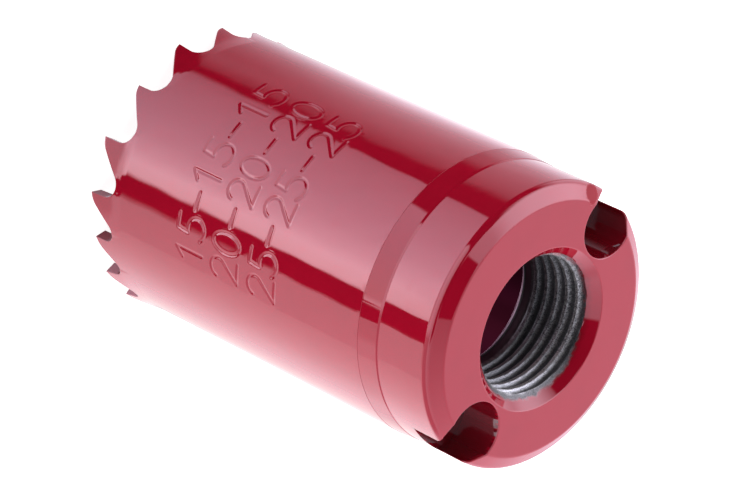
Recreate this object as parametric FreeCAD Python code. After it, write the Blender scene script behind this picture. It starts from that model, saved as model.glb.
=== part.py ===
import FreeCAD, Part

import math
import os

# Hole saw, 32 mm cutting diameter, standing on its tooth tips with its cap upwards.
# The origin is on the saw's axis in the plane of the tooth tips, and +Z points to the cap.
# All lengths are millimetres, all angles degrees, counted anticlockwise seen from the cap.

# Cup
LENGTH = 50.0
TUBE_R = 15.35
TUBE_WALL = 1.35
TUBE_END_Z = 39.9
SHOULDER_BEVEL = 0.1

# Tooth strip
STRIP_HEIGHT = 4.2
TOOTH_COUNT = 18
FIRST_TIP_ANGLE = -116.5
PITCH_SWING = 5.6
PITCH_PHASE = -43.4
PITCH_CYCLES = 2
GULLET_DEPTH_PER_PITCH = 0.52
GULLET_R_PER_PITCH = 0.24
CROWN_R = 2.5
TIP_RELIEF = 10.0

# Set of the teeth: how far a tip leans off the tube, in turn round the edge, and the height
# of the bend as a share of the shallowest gullet's depth
SET_OUT = 0.65
SET_IN = 0.3
SET_SHARE = 0.92
SET_SEQUENCE = (SET_OUT, -SET_IN, SET_OUT, SET_OUT, 0.0, SET_OUT)

# End cap
CAP_THICKNESS = 10.5
RIM_SETBACK = 0.25
RIM_FOOT_Z = 42.5
NECK_WAIST = 0.2
RIDGE_BEVEL = 0.3
RIM_CHAMFER_RADIAL = 1.65
RIM_CHAMFER_AXIAL = 1.0

# Arbor thread 5/8 inch, 18 turns to the inch, drawn at its minor diameter
THREAD_MINOR_R = 7.17
COUNTERSINK_R = 8.58
BORE_FOOT_CHAMFER = 0.75

# Drive pin holes for 6.35 mm pins, which break out through the rim
PIN_HOLE_R = 3.43
PIN_CENTRE_R = 12.34
PIN_HOLE_DEPTH = 4.8
PIN_HOLE_ANGLES = (0.0, 180.0)

# How far a cutting body runs past the metal that it cuts, and how close counts as the same height
CUT_MARGIN = 1.0
SAME_HEIGHT = 0.01

# The cap is turned to suit the tube, so its neck and rim follow the tube's size
INNER_R = TUBE_R - TUBE_WALL
NECK_FOOT_R = TUBE_R - SHOULDER_BEVEL
NECK_R = NECK_FOOT_R - NECK_WAIST
RIM_R = TUBE_R - RIM_SETBACK
CAP_FOOT_Z = LENGTH - CAP_THICKNESS
AXIS = FreeCAD.Vector(0, 0, 1)
ORIGIN = FreeCAD.Vector(0, 0, 0)


def section_point(radius, height):
    """A point of a half section, in the plane through the axis and +X."""
    return FreeCAD.Vector(radius, 0, height)


def turned(points, start_angle=0.0, sweep=360.0):
    """Revolve a closed half section, given as (radius, height) pairs, about the axis."""
    corners = [section_point(radius, height) for radius, height in points]
    face = Part.Face(Part.makePolygon(corners + corners[:1]))
    face.rotate(ORIGIN, AXIS, start_angle)
    return face.revolve(ORIGIN, AXIS, sweep)


def tip_angle(index):
    """Angle of a tooth's tip: even spacing with a sine laid over it, so that the pitch varies."""
    even = 360.0 * index / TOOTH_COUNT
    wave = math.radians(PITCH_CYCLES * even + PITCH_PHASE)
    return FIRST_TIP_ANGLE + even + PITCH_SWING * math.sin(wave)


def gullet_pitch(index):
    """Arc along the tube's surface from one tip to the next."""
    return math.radians(tip_angle(index + 1) - tip_angle(index)) * TUBE_R


def gullet_radius(index):
    """Radius of the gullet's round: a wide gullet is rounder."""
    return GULLET_R_PER_PITCH * gullet_pitch(index)


def floor_angle(index):
    """Angle of the deepest point of the gullet that follows a tooth."""
    return tip_angle(index + 1) - math.degrees(gullet_radius(index) / TUBE_R)


def set_height():
    """Height of the bend line, which all the gullets cut through."""
    shallowest = min(gullet_pitch(index) for index in range(TOOTH_COUNT)) * GULLET_DEPTH_PER_PITCH
    return SET_SHARE * shallowest


def back_slope(crown_centre, gullet_centre, gullet_r):
    """Slope of the line that touches the crown circle from below and the gullet circle from above."""
    across = gullet_centre[0] - crown_centre[0]
    rise = crown_centre[1] - gullet_centre[1]
    reach = (CROWN_R + gullet_r) / math.hypot(across, rise)
    return math.atan2(across, rise) - math.acos(min(1.0, reach))


def gullet_outline(index):
    """Open space between two teeth, unrolled: (distance along the tube, height) for each corner.

    From the tip the back rises on the crown arc, runs straight, turns through the round
    gullet and comes down on the radial face of the next tooth.
    """
    pitch = gullet_pitch(index)
    depth = GULLET_DEPTH_PER_PITCH * pitch
    gullet_r = gullet_radius(index)
    relief = math.radians(TIP_RELIEF)
    crown_centre = (-CROWN_R * math.sin(relief), CROWN_R * math.cos(relief))
    gullet_centre = (pitch - gullet_r, depth - gullet_r)
    slope = back_slope(crown_centre, gullet_centre, gullet_r)

    def on_crown(angle):
        return (crown_centre[0] + CROWN_R * math.sin(angle), crown_centre[1] - CROWN_R * math.cos(angle))

    def on_gullet(angle):
        return (gullet_centre[0] - gullet_r * math.sin(angle), gullet_centre[1] + gullet_r * math.cos(angle))

    face_side = -math.pi / 2
    return [
        ("start", (0.0, -CUT_MARGIN)),
        ("line", on_crown(relief)),
        ("arc", on_crown((relief + slope) / 2), on_crown(slope)),
        ("line", on_gullet(slope)),
        ("arc", on_gullet(slope / 2), on_gullet(0.0)),
        ("arc", on_gullet(face_side / 2), on_gullet(face_side)),
        ("line", (pitch, -CUT_MARGIN)),
        ("line", (0.0, -CUT_MARGIN)),
    ]


def gullet_wire(index, distance):
    """The gullet's outline seen from the axis, on an upright plane at a distance from it."""
    middle = gullet_pitch(index) / 2

    def place(corner):
        angle = (corner[0] - middle) / TUBE_R
        return FreeCAD.Vector(distance, distance * math.tan(angle), corner[1])

    edges = []
    at = None
    for step in gullet_outline(index):
        end = place(step[-1])
        if step[0] == "line":
            edges.append(Part.LineSegment(at, end).toShape())
        if step[0] == "arc":
            edges.append(Part.Arc(at, place(step[1]), end).toShape())
        at = end
    return Part.Wire(edges)


def gullet_cutter(index):
    """Ruled body whose sides run radially through the wall, as in a strip milled flat and then rolled."""
    near = gullet_wire(index, INNER_R - SET_IN - CUT_MARGIN)
    far = gullet_wire(index, TUBE_R + SET_OUT + CUT_MARGIN)
    cutter = Part.makeLoft([near, far], True, True)
    cutter.rotate(ORIGIN, AXIS, (tip_angle(index) + tip_angle(index + 1)) / 2)
    return cutter


def tooth_tip(index, cutters):
    """One tooth below the bend line, leaning outwards, inwards or not at all."""
    lean = SET_SEQUENCE[index % len(SET_SEQUENCE)]
    start = floor_angle(index - 1)
    wall = [
        (INNER_R + lean, 0.0),
        (TUBE_R + lean, 0.0),
        (TUBE_R, set_height()),
        (INNER_R, set_height()),
    ]
    blank = turned(wall, start, floor_angle(index) - start)
    return blank.cut([cutters[index - 1], cutters[index]])


def tooth_edge():
    """Ring of high-speed steel with hooked, set teeth."""
    cutters = [gullet_cutter(index) for index in range(TOOTH_COUNT)]
    band = turned([
        (INNER_R, set_height()),
        (TUBE_R, set_height()),
        (TUBE_R, STRIP_HEIGHT),
        (INNER_R, STRIP_HEIGHT),
    ]).cut(cutters)
    tips = [tooth_tip(index, cutters) for index in range(TOOTH_COUNT)]
    return band.fuse(tips).removeSplitter()


def shell():
    """Rolled tube of back steel, with its outer edge bevelled where it meets the cap."""
    tube = turned([
        (INNER_R, STRIP_HEIGHT),
        (TUBE_R, STRIP_HEIGHT),
        (TUBE_R, TUBE_END_Z),
        (INNER_R, TUBE_END_Z),
    ])
    middle_r = INNER_R + TUBE_WALL / 2
    shoulder = [
        edge for edge in tube.Edges
        if edge.BoundBox.ZMin > TUBE_END_Z - SAME_HEIGHT and edge.BoundBox.XMin < -middle_r
    ]
    return tube.makeChamfer(SHOULDER_BEVEL, shoulder)


def pin_hole(angle):
    """Blind hole for a drive pin, open at the face and through the rim."""
    hole = Part.makeCylinder(PIN_HOLE_R, PIN_HOLE_DEPTH + CUT_MARGIN)
    hole.translate(FreeCAD.Vector(PIN_CENTRE_R, 0, LENGTH - PIN_HOLE_DEPTH))
    hole.rotate(ORIGIN, AXIS, angle)
    return hole


def end_cap():
    """Turned end plate: spigot, neck, ridge, rim, chamfer, face and bore, then the pin holes."""
    countersink_depth = COUNTERSINK_R - THREAD_MINOR_R
    plate = turned([
        (THREAD_MINOR_R + BORE_FOOT_CHAMFER, CAP_FOOT_Z),
        (INNER_R, CAP_FOOT_Z),
        (INNER_R, TUBE_END_Z),
        (NECK_FOOT_R, TUBE_END_Z),
        (NECK_R, RIM_FOOT_Z - RIDGE_BEVEL),
        (RIM_R, RIM_FOOT_Z),
        (RIM_R, LENGTH - RIM_CHAMFER_AXIAL),
        (RIM_R - RIM_CHAMFER_RADIAL, LENGTH),
        (COUNTERSINK_R, LENGTH),
        (THREAD_MINOR_R, LENGTH - countersink_depth),
        (THREAD_MINOR_R, CAP_FOOT_Z + BORE_FOOT_CHAMFER),
    ])
    return plate.cut([pin_hole(angle) for angle in PIN_HOLE_ANGLES])


def write_parts():
    """Write each piece as one STEP file named after its node."""
    os.makedirs("parts", exist_ok=True)
    for name, make in (("tooth_edge", tooth_edge), ("shell", shell), ("end_cap", end_cap)):
        piece = make()
        piece.exportStep("parts/" + name + ".step")
        print(name, "solids", len(piece.Solids), "valid", piece.isValid(), "volume", round(piece.Volume, 2))


write_parts()
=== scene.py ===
import math

import bmesh
import bpy
import numpy as np
from mathutils import Matrix, Vector


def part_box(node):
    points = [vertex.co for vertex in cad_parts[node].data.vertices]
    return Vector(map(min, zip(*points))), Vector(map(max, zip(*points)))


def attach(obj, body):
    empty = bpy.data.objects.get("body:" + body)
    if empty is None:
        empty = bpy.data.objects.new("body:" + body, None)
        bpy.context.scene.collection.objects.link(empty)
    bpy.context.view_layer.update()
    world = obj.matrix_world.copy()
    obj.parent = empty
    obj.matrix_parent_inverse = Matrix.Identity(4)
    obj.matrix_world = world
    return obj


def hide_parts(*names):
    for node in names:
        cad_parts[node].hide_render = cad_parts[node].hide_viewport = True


bl_info = {
    "name": "Hole Saw",
    "version": (1, 0, 0),
    "blender": (4, 5, 0),
    "location": "View3D > Sidebar > Hole Saw",
    "description": "Builds a painted cup hole saw and the light stage round it",
    "category": "Add Mesh",
}

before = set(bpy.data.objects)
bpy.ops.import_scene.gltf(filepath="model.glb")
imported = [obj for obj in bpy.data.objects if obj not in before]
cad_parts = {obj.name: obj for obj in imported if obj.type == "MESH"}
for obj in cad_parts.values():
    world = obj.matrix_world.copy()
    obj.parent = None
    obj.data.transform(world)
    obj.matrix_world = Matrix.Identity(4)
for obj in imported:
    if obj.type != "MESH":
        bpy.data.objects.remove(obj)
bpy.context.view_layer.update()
SHELL_LOW, SHELL_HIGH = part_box("shell")
STRIP_HEIGHT = SHELL_LOW.z
TUBE_END = SHELL_HIGH.z
TUBE_RADIUS = SHELL_HIGH.x
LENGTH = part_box("end_cap")[1].z
CAP_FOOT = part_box("end_cap")[0].z

# The first tooth's angle and the two turns of the pitch's sine are those of the frame
FIRST_TIP = math.radians(-116.5)
PITCH_PHASE = math.radians(-43.4)
PITCH_CYCLES = 2
TWO_PI = 2 * math.pi

# Room for rounding where two lengths are compared
TINY = 1e-9


def metres(name, description, default):
    """A size in metres, shown in the scene's own unit."""
    return bpy.props.FloatProperty(
        name=name, description=description, default=default, precision=5, unit="LENGTH"
    )


def degrees(name, description, default):
    """An angle, kept in radians and shown in degrees."""
    return bpy.props.FloatProperty(
        name=name, description=description, default=math.radians(default), subtype="ANGLE"
    )


def number(name, description, default):
    """A plain number."""
    return bpy.props.FloatProperty(name=name, description=description, default=default)


def tint(name, description, default):
    """A linear colour."""
    return bpy.props.FloatVectorProperty(
        name=name, description=description, default=default, subtype="COLOR", min=0.0, max=1.0
    )


class HoleSawSizes(bpy.types.PropertyGroup):
    """Sizes of the saw."""

    tube_radius: metres("Tube radius", "Outside of the rolled tube", TUBE_RADIUS)
    tube_wall: metres("Tube wall", "Thickness of the tube and of the tooth strip", 0.00135)
    shoulder_round: metres("Shoulder round", "Rounding where the tube meets the cap", 0.00002)
    tooth_count: bpy.props.IntProperty(name="Teeth", description="Teeth round the edge", default=18)
    pitch_swing: degrees("Pitch swing", "How far a tip stands from even spacing", 5.6)
    gullet_share: number("Gullet depth share", "Gullet depth as a share of the tooth pitch", 0.52)
    gullet_round: number("Gullet round share", "Radius of a gullet's round as a share of the pitch", 0.24)
    crown_radius: metres("Crown radius", "Curve of the tooth's back next to its tip", 0.0025)
    tip_relief: degrees("Tip relief", "Rise of the tooth's back at its tip", 10.0)
    set_out: metres("Outward set", "How far an outward tooth leans off the tube", 0.00044)
    set_in: metres("Inward set", "How far an inward tooth leans off the tube", 0.00006)
    set_height: metres("Set height", "Height of the middle of the soft bend above the tips", 0.0028)
    set_softness: metres("Set softness", "Height over which the bend is spread", 0.0009)
    edge_round: metres("Edge round", "Round that the paint leaves on a cut edge", 0.00006)
    rim_setback: metres("Rim setback", "How far the rim stands inside the tube's surface", 0.00025)
    rim_foot: metres("Rim foot", "Height of the ridge below the rim", 0.0425)
    ridge_bead: metres("Ridge bead", "How far the ridge stands off the rim", 0.00006)
    rim_round: metres("Rim round", "Reach of the rounding between the rim and its chamfer", 0.00048)
    ridge_bevel: metres("Ridge bevel", "Height of the slope under the ridge", 0.0003)
    chamfer_radial: metres("Chamfer width", "Rim chamfer, across", 0.00165)
    chamfer_axial: metres("Chamfer height", "Rim chamfer, along the axis", 0.001)
    thread_minor: metres("Thread minor radius", "Bore at the crests of the thread", 0.00717)
    thread_pitch: metres("Thread pitch", "Rise of one turn, at 18 turns to the inch", 0.0014111)
    countersink: metres("Countersink radius", "Edge of the bore's countersink", 0.00858)
    foot_chamfer: metres("Foot chamfer", "Chamfer at the inner end of the bore", 0.0009)
    pin_radius: metres("Pin hole radius", "Radius of a drive pin hole", 0.00343)
    pin_centre: metres("Pin circle radius", "Distance of a pin hole from the axis", 0.01234)
    pin_depth: metres("Pin hole depth", "Depth of a drive pin hole", 0.0048)
    lip_round: metres("Hole lip", "Round of the pin holes' edges", 0.00014)
    figure_height: metres("Figure height", "Height of the stamped depth figures", 0.0039)
    figure_advance: metres("Figure advance", "Distance from one figure to the next", 0.00275)
    stroke_depth: metres("Stroke depth", "Depth of the stamped strokes", 0.00007)
    stroke_width: metres("Stroke half width", "Half the width of a stamped stroke", 0.00019)
    paint_wave: metres("Paint wave", "Height of the slow waves in the sprayed paint", 0.0000008)


class HoleSawColours(bpy.types.PropertyGroup):
    """Colours of the saw, in linear light."""

    paint: tint("Paint", "Deep crimson lacquer", (0.40, 0.0022, 0.020))
    # The deeper colour: the lacquer's random clouding reaches towards it, and on the cap it is painted shade
    # in the bore and the pin holes
    paint_deep: tint("Paint, pooled", "The lacquer where it has pooled", (0.22, 0.0012, 0.009))
    # Painted shade: the dark colour inside the pin holes
    hole: tint("Paint, holes", "The lacquer inside the pin holes", (0.11, 0.0006, 0.005))
    drip: tint("Paint, drip", "The run of lacquer beside a pin hole", (0.12, 0.0008, 0.006))
    # Painted shade: the dark colour of the tube's inner wall
    inside: tint("Tube, inside", "Dark shading inside the tube", (0.145, 0.046, 0.077))
    # Painted shade: the dark colour at the bore's inner end, below the thread
    bore_foot: tint("Bore, inner end", "Dark shading below the thread", (0.025, 0.02, 0.027))
    # Painted highlight: the bright colour of the edge at the bore's inner end
    foot_highlight: tint("Bore, edge", "Bright edge at the bore's inner end", (0.9, 0.66, 0.76))
    # Edge colour: thin paint on cut edges, and a painted highlight on the cut faces and along the pin holes'
    # rounded lips
    edge: tint("Paint edge", "Thin paint over the steel of a cut edge", (0.48, 0.13, 0.16))
    steel: tint("Steel", "Bare cut steel of the thread", (0.85, 0.85, 0.87))
    steel_dark: tint("Steel, dark", "Dark scale between the bright grains", (0.05, 0.05, 0.055))
    floor: tint("Floor", "Pale studio floor", (0.86, 0.86, 0.86))


class HoleSawStudio(bpy.types.PropertyGroup):
    """Camera and light levels."""

    camera_azimuth: degrees("Camera azimuth", "Side of the camera, anticlockwise from +X", -78.19)
    camera_elevation: degrees("Camera elevation", "Height of the camera above the horizon", 40.30)
    camera_roll: degrees("Camera roll", "Turn of the camera about its own axis", -115.54)
    camera_distance: metres("Camera distance", "Distance from the camera to its aim point", 0.39336)
    camera_aim: metres("Aim height", "Height of the aim point on the saw's axis", 0.026245)
    camera_lens: number("Lens", "Focal length in millimetres on a 36 mm sensor", 185.28)
    ambient: number("Ambient level", "Brightness of the white tent to matt surfaces", 0.52)
    left_watts: number("Left lamp", "Power of the soft lamp on the left in watts", 1.8)
    right_watts: number("Right lamp", "Power of the soft lamp on the right in watts", 2.9)
    back_watts: number("Back lamp", "Power of the soft lamp behind the saw in watts", 4.2)


def grid_quads(rows, columns, wrap_rows=False, wrap_columns=False):
    """Corner numbers of the quads of a grid whose point (i, j) is number i * columns + j."""
    i = np.arange(rows if wrap_rows else rows - 1)
    j = np.arange(columns if wrap_columns else columns - 1)
    i, j = np.meshgrid(i, j, indexing="ij")
    below, beside = (i + 1) % rows, (j + 1) % columns
    corners = [i * columns + j, i * columns + beside, below * columns + beside, below * columns + j]
    return np.stack(corners, axis=-1).reshape(-1, 4)


def cylinder_points(radius, angle, height):
    """Points from radius, angle and height: x = r cos a, y = r sin a, z = h."""
    radius, angle, height = np.broadcast_arrays(radius, angle, height)
    return np.stack([radius * np.cos(angle), radius * np.sin(angle), height], axis=-1)


def smooth_step(low, high, value):
    """Cubic rise from 0 at low to 1 at high: 3t^2 - 2t^3."""
    t = np.clip((value - low) / (high - low), 0.0, 1.0)
    return t * t * (3 - 2 * t)


# Each wave's turns round the tube, its rise along the axis in radians per metre, and its phase
WAVES = ((13, 520.0, 0.3), (21, -390.0, 1.9), (29, 760.0, 4.1), (37, -940.0, 2.6), (46, 1230.0, 5.2))

# Height over which the waves die down before an edge
CALM_REACH = 0.0005


def paint_wave(angle, height, size):
    """Slow waves in sprayed paint: a sum of sines, whole numbers of them round the tube, at five slants."""
    return size * sum(np.sin(turns * angle + along * height + phase) for turns, along, phase in WAVES)


# Points nearer than the first are merged, and edges shorter than the second are dissolved
MERGE_DISTANCE, SHORTEST_EDGE = 2e-6, 1e-7


def link(name, data):
    """A new object in the scene."""
    made = bpy.data.objects.new(name, data)
    bpy.context.scene.collection.objects.link(made)
    return made


def build_piece(name, patches, sharp_degrees, material, node, attributes=None):
    """One closed mesh from grids of (points, quads), merged where they meet, with its faces outwards."""
    points = np.concatenate([p.reshape(-1, 3) for p, q in patches])
    starts = np.cumsum([0] + [p.reshape(-1, 3).shape[0] for p, q in patches[:-1]])
    faces = [face for start, (p, q) in zip(starts, patches) for face in (np.asarray(q) + start).tolist()]
    mesh = bpy.data.meshes.new(name)
    mesh.from_pydata(points.tolist(), [], faces)
    for key, values in (attributes or {}).items():
        layer = mesh.attributes.new(key, "FLOAT", "POINT")
        layer.data.foreach_set("value", np.asarray(values, np.float32).ravel())
    work = bmesh.new()
    work.from_mesh(mesh)
    bmesh.ops.remove_doubles(work, verts=work.verts, dist=MERGE_DISTANCE)
    bmesh.ops.dissolve_degenerate(work, edges=work.edges, dist=SHORTEST_EDGE)
    bmesh.ops.recalc_face_normals(work, faces=work.faces)
    work.to_mesh(mesh)
    work.free()
    mesh.shade_smooth()
    mesh.set_sharp_from_angle(angle=math.radians(sharp_degrees))
    mesh.materials.append(material)
    piece = link(name, mesh)
    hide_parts(node)
    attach(piece, "root")


def arc_points(centre, radii, start, end, count):
    """Points of an elliptic arc: centre + (rx cos t, ry sin t), t in even steps, in degrees."""
    t = np.radians(np.linspace(start, end, count))
    return np.stack([centre[0] + radii[0] * np.cos(t), centre[1] + radii[1] * np.sin(t)], axis=-1)


def figure_strokes(figure):
    """Centre lines of a plain figure in a box 0.6 wide and 1 high."""
    if figure == "0":
        return [arc_points((0.31, 0.5), (0.27, 0.5), 0, 360, 25)]
    if figure == "1":
        return [np.array([(0.1, 0.76), (0.34, 1.0), (0.34, 0.0)])]
    if figure == "2":
        bowl = arc_points((0.3, 0.72), (0.27, 0.28), 165, -40, 13)
        return [np.concatenate([bowl, [(0.04, 0.0), (0.6, 0.0)]])]
    if figure == "5":
        bowl = arc_points((0.27, 0.32), (0.31, 0.32), 118, -145, 15)
        return [np.concatenate([[(0.55, 1.0), (0.16, 1.0)], bowl])]
    return [np.array([(0.06, 0.5), (0.54, 0.5)])]


def stroke_distance(across, up, sizes, figures):
    """Distance of each point to the nearest centre line of a row of figures, in metres."""
    nearest = np.full(across.shape, 1.0)
    for place, figure in enumerate(figures):
        left = place * sizes.figure_advance
        for line in figure_strokes(figure):
            line = line * sizes.figure_height + (left, 0.0)
            for start, end in zip(line[:-1], line[1:]):
                run = end - start
                share = ((across - start[0]) * run[0] + (up - start[1]) * run[1]) / (run @ run)
                share = np.clip(share, 0.0, 1.0)
                gap = np.hypot(across - start[0] - share * run[0], up - start[1] - share * run[1])
                nearest = np.minimum(nearest, gap)
    return nearest


DEPTH_ROWS = (("15-15-15", 0.0170), ("20-20-20", 0.0223), ("25-25-25", 0.0278))
FIGURES_START = math.radians(-41.0)
STAMPED_SECTOR = (math.radians(-126.0), math.radians(-38.0))

# In stroke half widths: a stroke's flank, and the place and spread of its burr. Then the burr's height as a
# share of the stroke's depth
STROKE_FLANK, BURR_PLACE, BURR_SPREAD, BURR_SHARE = (0.25, 1.15), 1.45, 0.35, 0.16

# Steps of the tube's grid at the figures and elsewhere, the room round a row of figures, the least gap
# between the two grids, and how close a row stands beside an edge
FINE_STEP, COARSE_STEP = 0.00011, 0.0007
ROW_MARGIN, ROW_GAP, EDGE_HOLD = 0.0004, 0.0001, 0.00003
INSIDE_ROWS, ROUND_ROWS, PLAIN_COLUMNS = 9, 9, 184


def stamp_height(angle, height, sizes):
    """Height of the stamping: a smooth trough along each stroke, with a low burr on its banks."""
    total = np.zeros(np.broadcast(angle, height).shape)
    across, width = (FIGURES_START - angle) * sizes.tube_radius, sizes.stroke_width
    for figures, baseline in DEPTH_ROWS:
        gap = stroke_distance(across + 0 * height, baseline - height + 0 * angle, sizes, figures)
        trough = 1 - smooth_step(STROKE_FLANK[0] * width, STROKE_FLANK[1] * width, gap)
        burr = np.exp(-(((gap - BURR_PLACE * width) / (BURR_SPREAD * width)) ** 2))
        total = total - sizes.stroke_depth * trough + BURR_SHARE * sizes.stroke_depth * burr
    return total


def shell_mesh(sizes):
    """Tube: a closed half section carried round the axis, with the stamping added to its outer radius.

    Rows run up the inside, over the end, round the shoulder's quarter circle and down the outside.
    """
    outer, inner = sizes.tube_radius, sizes.tube_radius - sizes.tube_wall
    turn = np.radians(np.linspace(90, 0, ROUND_ROWS))
    shoulder = sizes.shoulder_round
    low, high = STRIP_HEIGHT, TUBE_END - shoulder
    fine = [
        np.arange(base - sizes.figure_height - ROW_MARGIN, base + ROW_MARGIN, FINE_STEP)
        for _, base in DEPTH_ROWS
    ]
    coarse = np.arange(low + COARSE_STEP, high - 0.0003, COARSE_STEP)
    keep = np.ones(len(coarse), bool)
    for band in fine:
        keep &= (coarse < band[0] - ROW_GAP) | (coarse > band[-1] + ROW_GAP)
    wall = np.sort(np.concatenate([coarse[keep], *fine, [low, low + EDGE_HOLD, high - EDGE_HOLD]]))[::-1]
    rounded = outer - shoulder + shoulder * np.cos(turn)
    radius = np.concatenate([np.full(INSIDE_ROWS, inner), rounded, np.full(len(wall), outer)])
    inside = np.linspace(low, TUBE_END, INSIDE_ROWS)
    height = np.concatenate([inside, high + shoulder * np.sin(turn), wall])
    first, last = STAMPED_SECTOR
    fine_angles = np.arange(first, last, FINE_STEP / outer)
    rest = np.linspace(last, first + TWO_PI, PLAIN_COLUMNS, endpoint=False)
    angle = np.concatenate([fine_angles, rest])[None, :]
    is_wall = (np.arange(len(radius)) >= INSIDE_ROWS + ROUND_ROWS)[:, None]
    relief = stamp_height(angle, height[:, None], sizes)
    wave = paint_wave(angle, height[:, None], sizes.paint_wave)
    bound = smooth_step(low, low + CALM_REACH, height)[:, None]
    grown = radius[:, None] + np.where(is_wall, relief + wave * bound, 0.0)
    points = cylinder_points(grown, angle, height[:, None])
    return points, grid_quads(*points.shape[:2], True, True)


def tip_angles(sizes):
    """Angles of the tips: even spacing plus a sine, with the first tip repeated at the end."""
    index = np.arange(sizes.tooth_count + 1)
    even = TWO_PI * index / sizes.tooth_count
    return FIRST_TIP + even + sizes.pitch_swing * np.sin(PITCH_CYCLES * even + PITCH_PHASE)


# Points on each curve and on each straight line of a gullet
CURVE_POINTS, LINE_POINTS = 11, 6


def tooth_outline(sizes):
    """Edge of the teeth, unrolled, one row per tooth: crown arc, straight back, round gullet, upright face.

    Gives the angle, the height and the tooth that each point belongs to, and the place of the gullet's top.
    """
    tips = tip_angles(sizes)
    radius = sizes.tube_radius
    pitch = (np.diff(tips) * radius)[:, None]
    depth = sizes.gullet_share * pitch
    crown, gullet, relief = sizes.crown_radius, sizes.gullet_round * pitch, sizes.tip_relief
    crown_x, crown_z = -crown * math.sin(relief), crown * math.cos(relief)
    gullet_x, gullet_z = pitch - gullet, depth - gullet
    across, rise = gullet_x - crown_x, crown_z - gullet_z
    reach = (crown + gullet) / np.hypot(across, rise)
    slope = np.arctan2(across, rise) - np.arccos(np.minimum(reach, 1.0))

    def on_circle(x, z, size, turn):
        """Points of a circle, turned from its lowest one: (x + r sin t, z - r cos t)."""
        return np.stack([x + size * np.sin(turn), z - size * np.cos(turn)])

    t = np.linspace(0, 1, CURVE_POINTS)[None, :]
    back = on_circle(crown_x, crown_z, crown, relief + (slope - relief) * t)
    rise_to_top = on_circle(gullet_x, gullet_z, -gullet, slope * (1 - t))
    fall = on_circle(gullet_x, gullet_z, -gullet, -math.pi / 2 * t[:, 1:])
    share = np.linspace(0, 1, LINE_POINTS)[None, 1:-1]
    straight = back[..., -1:] + (rise_to_top[..., :1] - back[..., -1:]) * share
    down = np.linspace(1, 0, LINE_POINTS)[None, 1:-1]
    face = np.stack([pitch + 0 * down, (depth - gullet) * down])
    x, z = np.concatenate([back, straight, rise_to_top, fall, face], axis=-1)
    angle = tips[:-1, None] + x / radius
    tooth = np.arange(sizes.tooth_count)[:, None] + (x > gullet_x + TINY)
    return angle, z, tooth % sizes.tooth_count, 2 * CURVE_POINTS + LINE_POINTS - 3


# Rows from the strip's top to the teeth's edge, how fast they close up towards it, the lean of a straight
# tooth as a share of the outward set, the end of the bend below the strip's top, and the marks of the rows
# over the cut face, which stand for thin paint and a painted highlight
TOOTH_ROWS, ROW_CROWDING, STRAIGHT_SHARE, BEND_END = 10, 1.4, 0.25, 0.001
CUT_WEAR_AND_HIGHLIGHT = (0.25, 1.0, 1.0, 0.55, 0.3, 0.3)


def tooth_mesh(sizes):
    """Tooth ring: each point of the edge is joined to the strip's top by a straight line on the wall.

    Below the bend line the wall leans by the tooth's set, in proportion to the distance from the bend.
    The section at each line runs down the outside, over the cut face and up the inside.
    """
    angle, height, tooth, floor_place = tooth_outline(sizes)
    per_tooth = angle.shape[1]
    outer, inner = sizes.tube_radius, sizes.tube_radius - sizes.tube_wall
    flat_angle, flat_height, flat_tooth = angle.ravel(), height.ravel(), tooth.ravel()
    step_x = np.diff(np.append(flat_angle, flat_angle[0] + TWO_PI)) * outer
    step_z = np.diff(np.append(flat_height, flat_height[0]))
    run = np.concatenate([[0], np.cumsum(np.hypot(step_x, step_z))])
    floors = np.arange(sizes.tooth_count) * per_tooth + floor_place
    at_floor, floor_angle = run[floors], flat_angle[floors]
    known_run = np.concatenate([[at_floor[-1] - run[-1]], at_floor, [at_floor[0] + run[-1]]])
    known = np.concatenate([[floor_angle[-1] - TWO_PI], floor_angle, [floor_angle[0] + TWO_PI]])
    top_angle = np.interp(run[:-1], known_run, known)
    along = (np.roll(step_x, 1) + step_x, np.roll(step_z, 1) + step_z)
    size = np.hypot(*along)
    edge = sizes.edge_round
    inward_angle = flat_angle - along[1] / size * edge / outer
    inward_height = flat_height + along[0] / size * edge
    out, back = sizes.set_out, -sizes.set_in
    sets = np.array([out, back, out, out, STRAIGHT_SHARE * out, out])[flat_tooth % 6]

    def wall_point(radius, share, from_angle, from_height):
        """Points a share of the way up to the strip's top, leaning by a bend that is a soft straight line."""
        at = from_angle + (top_angle - from_angle) * share
        up = from_height + (STRIP_HEIGHT - from_height) * share
        below, soft = sizes.set_height - up, sizes.set_softness
        bend = (below + np.sqrt(below**2 + soft**2)) / (sizes.set_height + math.hypot(sizes.set_height, soft))
        bend = bend * smooth_step(STRIP_HEIGHT, STRIP_HEIGHT - BEND_END, up)
        return cylinder_points(radius + sets * bend, at, up)

    shares = np.linspace(1, 0, TOOTH_ROWS) ** ROW_CROWDING
    loops = [wall_point(outer, share, inward_angle, inward_height) for share in shares]
    near_angle, near_height = (inward_angle + 2 * flat_angle) / 3, (inward_height + 2 * flat_height) / 3
    loops.append(wall_point(outer - 0.3 * edge, 0.0, near_angle, near_height))
    for radius in (outer - edge, outer - 2 * edge, (outer + inner) / 2, inner + 0.5 * edge):
        loops.append(wall_point(radius, 0.0, flat_angle, flat_height))
    loops += [wall_point(inner, share, inward_angle, inward_height) for share in shares[::-1]]
    points = np.stack(loops)
    wear_and_highlight = np.zeros(points.shape[:2])
    # Marks on the cut face's rows: thin paint and a painted highlight
    wear_and_highlight[TOOTH_ROWS - 1:TOOTH_ROWS - 1 + len(CUT_WEAR_AND_HIGHLIGHT)] = np.array(CUT_WEAR_AND_HIGHLIGHT)[:, None]
    return points, grid_quads(*points.shape[:2], True, True), wear_and_highlight


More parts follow.
